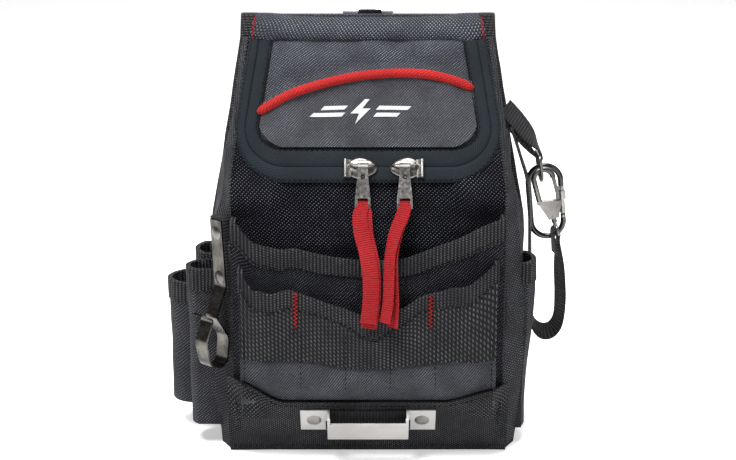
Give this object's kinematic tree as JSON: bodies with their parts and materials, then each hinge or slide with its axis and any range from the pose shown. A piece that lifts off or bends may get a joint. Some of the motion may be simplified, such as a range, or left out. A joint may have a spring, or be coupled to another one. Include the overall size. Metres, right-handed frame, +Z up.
{
  "type": "electrician tool pouch",
  "caption": "Woven tool pouch with a zip-top lid, tiered front pockets, side sleeves, a belt clip, a tape bracket and a tape strap with clips.",
  "frame": {"origin": "middle of the flat base, on the surface the pouch stands on", "axes": "-Y out of the front, +X to the right seen from the front, +Z up"},
  "size_m": [0.2822, 0.1293, 0.297],
  "materials": {
    "ballistic": "coarse woven",
    "side_fabric": "coarse woven",
    "webbing": "ribbed webbing",
    "zip_tape": "fine twill",
    "zip_coil": "matt",
    "board": "matt",
    "red_cord": "woven",
    "red_ribbon": "woven",
    "white_thread": "embroidered",
    "steel": "brushed",
    "nickel": "polished nickel",
    "gunmetal": "dark polished",
    "black_metal": "gloss"
  },
  "bodies": {
    "pouch": {"front_panel": "side_fabric", "gusset_left": "side_fabric", "gusset_right": "side_fabric", "bottom_panel": "webbing", "back_panel": "ballistic", "back_board": "board", "back_cover": "side_fabric", "edge_binding_left": "webbing", "edge_binding_right": "webbing", "top_band": "ballistic", "lower_band": "webbing", "body_zip_tape": "zip_tape", "body_zip_coil": "zip_coil", "rear_pocket": "ballistic", "rear_pocket_trim": "webbing", "front_pocket": "ballistic", "front_pocket_trim": "webbing", "front_pocket_webbing": "webbing", "pocket_bartacks": "red_cord", "side_pocket_left": "side_fabric", "side_pocket_left_trim": "webbing", "rear_sleeve": "side_fabric", "rear_sleeve_trim": "webbing", "front_sleeve": "side_fabric", "front_sleeve_trim": "webbing", "side_pocket_right": "side_fabric", "side_pocket_right_trim": "webbing", "tape_bracket": "nickel", "tape_bracket_rivets": "nickel", "spring_hook": "gunmetal", "spring_hook_rivets": "nickel", "spring_hook_tab": "webbing", "belt_clip": "steel", "belt_clip_rivets": "nickel", "belt_clip_webbing": "webbing", "ring_strap": "webbing", "tape_strap_inner": "webbing"},
    "lid": {"lid_panel": "ballistic", "lid_zip_tape": "zip_tape", "lid_zip_coil": "zip_coil", "lid_pocket": "ballistic", "lid_piping": "red_cord", "lid_badge": "white_thread"},
    "slider_left": {"zip_slider_left": "nickel"},
    "slider_right": {"zip_slider_right": "nickel"},
    "pull_left": {"zip_pull_left": "gunmetal"},
    "pull_right": {"zip_pull_right": "gunmetal"},
    "ribbon_left": {"pull_ribbon_left": "red_ribbon"},
    "ribbon_right": {"pull_ribbon_right": "red_ribbon"},
    "strap_ring": {"d_ring": "nickel"},
    "carabiner": {"carabiner": "black_metal", "carabiner_pin": "nickel"},
    "carabiner_gate": {"carabiner_gate": "nickel"},
    "tape_strap": {"tape_strap_outer": "webbing", "swivel_eye": "nickel"},
    "snap_hook": {"snap_hook": "nickel", "snap_hook_pin": "nickel"},
    "snap_gate": {"snap_hook_gate": "nickel"}
  },
  "joints": [
    {"name": "lid_hinge", "type": "hinge", "parent": "pouch", "child": "lid", "pos_m": [0, 0.024, 0.278], "axis": [-1, 0, 0], "range_deg": [0, 140]},
    {"name": "slider_left_slide", "type": "slide", "parent": "lid", "child": "slider_left", "axis": [-1, 0, 0], "range_m": [-0.0035, 0.038]},
    {"name": "slider_right_slide", "type": "slide", "parent": "lid", "child": "slider_right", "axis": [1, 0, 0], "range_m": [-0.0035, 0.017]},
    {"name": "pull_left_hinge", "type": "hinge", "parent": "slider_left", "child": "pull_left", "pos_m": [-0.0035, -0.03341, 0.20326], "axis": [-1, 0, 0], "range_deg": [0, 100]},
    {"name": "pull_right_hinge", "type": "hinge", "parent": "slider_right", "child": "pull_right", "pos_m": [0.0245, -0.03341, 0.20326], "axis": [-1, 0, 0], "range_deg": [0, 100]},
    {"name": "ribbon_left_hinge", "type": "hinge", "parent": "pull_left", "child": "ribbon_left", "pos_m": [-0.0035, -0.04237, 0.17567], "axis": [-1, 0, 0], "range_deg": [0, 50]},
    {"name": "ribbon_right_hinge", "type": "hinge", "parent": "pull_right", "child": "ribbon_right", "pos_m": [0.0245, -0.04237, 0.17567], "axis": [-1, 0, 0], "range_deg": [0, 50]},
    {"name": "tape_strap_swing", "type": "hinge", "parent": "pouch", "child": "tape_strap", "pos_m": [0.126, 0.0045, 0.0675], "axis": [0, 1, 0], "range_deg": [-0.4, 1.2], "stiffness_Nm_per_rad": 0.6},
    {"name": "strap_ring_swing", "type": "hinge", "parent": "pouch", "child": "strap_ring", "pos_m": [0.1185, 0.0115, 0.199], "axis": [0, -1, 0], "range_deg": [-2.4, 7.1]},
    {"name": "snap_hook_swivel", "type": "hinge", "parent": "tape_strap", "child": "snap_hook", "pos_m": [0.13004, 0.0045, 0.15457], "axis": [-0.2756, 0, 0.9613], "range_deg": [-8, 8]},
    {"name": "snap_gate_hinge", "type": "hinge", "parent": "snap_hook", "child": "snap_gate", "pos_m": [0.13217, 0.0045, 0.166], "axis": [0, -1, 0], "range_deg": [0, 15], "stiffness_Nm_per_rad": 0.02, "springref_deg": -11.46},
    {"name": "carabiner_swing", "type": "hinge", "parent": "strap_ring", "child": "carabiner", "pos_m": [0.12386, 0.018, 0.18218], "axis": [0, -1, 0], "range_deg": [0, 30]},
    {"name": "carabiner_gate_hinge", "type": "hinge", "parent": "carabiner", "child": "carabiner_gate", "pos_m": [0.13845, 0.018, 0.15246], "axis": [0, -1, 0], "range_deg": [0, 25], "stiffness_Nm_per_rad": 0.02, "springref_deg": -11.46}
  ],
  "couplings": [
    {"joint": "strap_ring_swing", "follows": "tape_strap_swing", "ratio": 5.9}
  ]
}
